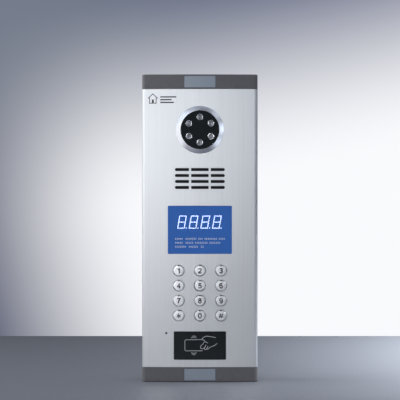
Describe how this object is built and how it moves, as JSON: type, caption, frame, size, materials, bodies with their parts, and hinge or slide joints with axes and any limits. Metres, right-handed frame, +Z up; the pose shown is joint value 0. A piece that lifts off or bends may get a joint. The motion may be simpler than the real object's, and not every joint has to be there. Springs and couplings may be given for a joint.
{
  "type": "door intercom panel",
  "caption": "Upright door intercom panel: brushed metal housing, dark end caps, ringed camera with infra-red LEDs, speaker slots, blue digit display, round keys and card reader window.",
  "frame": {"origin": "under the middle of the body, on the plane that the base stands on", "axes": "+Z up along the height, -Y out of the front face towards the user, +X to the user's right"},
  "size_m": [0.126, 0.046, 0.335],
  "materials": {
    "brushed_aluminium": "vertically brushed, satin anodised",
    "cap_plastic": "fine moulded texture",
    "insert_plastic": "fine moulded texture",
    "screw_steel": "zinc plated",
    "plate_steel": "galvanised sheet, satin",
    "foam_rubber": "closed-cell foam",
    "black_rubber": "matt",
    "carrier_plastic": "moulded",
    "polished_chrome": "polished",
    "bezel_chrome": "polished",
    "black_acrylic": "glossy",
    "blue_acrylic": "glossy, lit from behind",
    "clear_epoxy": "clear, glossy",
    "circuit_board": "solder mask",
    "lens_glass": "coated",
    "sensor_glass": "glossy",
    "black_plastic": "moulded",
    "mesh_fabric": "woven mesh",
    "speaker_steel": "satin",
    "cone_paper": "pressed paper",
    "magnet_iron": "dull",
    "lead_plastic": "satin",
    "module_plastic": "matt face",
    "lit_segments": "emissive",
    "silicone": "translucent silicone",
    "microphone_can": "satin",
    "copper_track": "copper track",
    "terminal_plastic": "moulded",
    "key_metal": "bevelled, satin top"
  },
  "bodies": {
    "housing": {"front_panel": "brushed_aluminium", "top_cap": "cap_plastic", "bottom_cap": "cap_plastic", "top_insert": "insert_plastic", "bottom_insert": "insert_plastic", "cap_screws": "screw_steel", "rear_plate": "plate_steel", "rear_seal": "foam_rubber", "rear_plate_screws": "screw_steel", "cable_grommet": "black_rubber", "inner_frame": "carrier_plastic", "frame_screws": "screw_steel", "camera_bezel": "polished_chrome", "camera_seal": "foam_rubber", "camera_nut": "carrier_plastic", "camera_window": "black_acrylic", "led_bezels": "bezel_chrome", "ir_leds": "clear_epoxy", "led_board": "circuit_board", "camera_lens": "lens_glass", "lens_barrel": "black_plastic", "lens_holder": "black_plastic", "image_sensor": "sensor_glass", "camera_board": "circuit_board", "camera_cup": "carrier_plastic", "speaker_mesh": "mesh_fabric", "speaker_gasket": "foam_rubber", "speaker_frame": "speaker_steel", "speaker_cone": "cone_paper", "speaker_magnet": "magnet_iron", "speaker_clips": "screw_steel", "speaker_lead": "lead_plastic", "display_window": "blue_acrylic", "display_module": "module_plastic", "display_segments": "lit_segments", "display_board": "circuit_board", "window_seals": "foam_rubber", "keypad_mat": "silicone", "keypad_board": "circuit_board", "microphone": "microphone_can", "microphone_boot": "black_rubber", "card_window": "black_acrylic", "antenna_board": "circuit_board", "antenna_coil": "copper_track", "main_board": "circuit_board", "board_parts": "black_plastic", "terminal_block": "terminal_plastic", "ribbon_cables": "lead_plastic"},
    "key_1": {"key_1": "key_metal"},
    "key_2": {"key_2": "key_metal"},
    "key_3": {"key_3": "key_metal"},
    "key_4": {"key_4": "key_metal"},
    "key_5": {"key_5": "key_metal"},
    "key_6": {"key_6": "key_metal"},
    "key_7": {"key_7": "key_metal"},
    "key_8": {"key_8": "key_metal"},
    "key_9": {"key_9": "key_metal"},
    "key_star": {"key_star": "key_metal"},
    "key_0": {"key_0": "key_metal"},
    "key_hash": {"key_hash": "key_metal"}
  },
  "joints": [
    {"name": "key_1_press", "type": "slide", "parent": "housing", "child": "key_1", "axis": [0, 1, 0], "range_m": [0, 0.0012], "stiffness_N_per_m": 800, "deforming": ["keypad_mat"]},
    {"name": "key_2_press", "type": "slide", "parent": "housing", "child": "key_2", "axis": [0, 1, 0], "range_m": [0, 0.0012], "stiffness_N_per_m": 800, "deforming": ["keypad_mat"]},
    {"name": "key_3_press", "type": "slide", "parent": "housing", "child": "key_3", "axis": [0, 1, 0], "range_m": [0, 0.0012], "stiffness_N_per_m": 800, "deforming": ["keypad_mat"]},
    {"name": "key_4_press", "type": "slide", "parent": "housing", "child": "key_4", "axis": [0, 1, 0], "range_m": [0, 0.0012], "stiffness_N_per_m": 800, "deforming": ["keypad_mat"]},
    {"name": "key_5_press", "type": "slide", "parent": "housing", "child": "key_5", "axis": [0, 1, 0], "range_m": [0, 0.0012], "stiffness_N_per_m": 800, "deforming": ["keypad_mat"]},
    {"name": "key_6_press", "type": "slide", "parent": "housing", "child": "key_6", "axis": [0, 1, 0], "range_m": [0, 0.0012], "stiffness_N_per_m": 800, "deforming": ["keypad_mat"]},
    {"name": "key_7_press", "type": "slide", "parent": "housing", "child": "key_7", "axis": [0, 1, 0], "range_m": [0, 0.0012], "stiffness_N_per_m": 800, "deforming": ["keypad_mat"]},
    {"name": "key_8_press", "type": "slide", "parent": "housing", "child": "key_8", "axis": [0, 1, 0], "range_m": [0, 0.0012], "stiffness_N_per_m": 800, "deforming": ["keypad_mat"]},
    {"name": "key_9_press", "type": "slide", "parent": "housing", "child": "key_9", "axis": [0, 1, 0], "range_m": [0, 0.0012], "stiffness_N_per_m": 800, "deforming": ["keypad_mat"]},
    {"name": "key_star_press", "type": "slide", "parent": "housing", "child": "key_star", "axis": [0, 1, 0], "range_m": [0, 0.0012], "stiffness_N_per_m": 800, "deforming": ["keypad_mat"]},
    {"name": "key_0_press", "type": "slide", "parent": "housing", "child": "key_0", "axis": [0, 1, 0], "range_m": [0, 0.0012], "stiffness_N_per_m": 800, "deforming": ["keypad_mat"]},
    {"name": "key_hash_press", "type": "slide", "parent": "housing", "child": "key_hash", "axis": [0, 1, 0], "range_m": [0, 0.0012], "stiffness_N_per_m": 800, "deforming": ["keypad_mat"]}
  ]
}
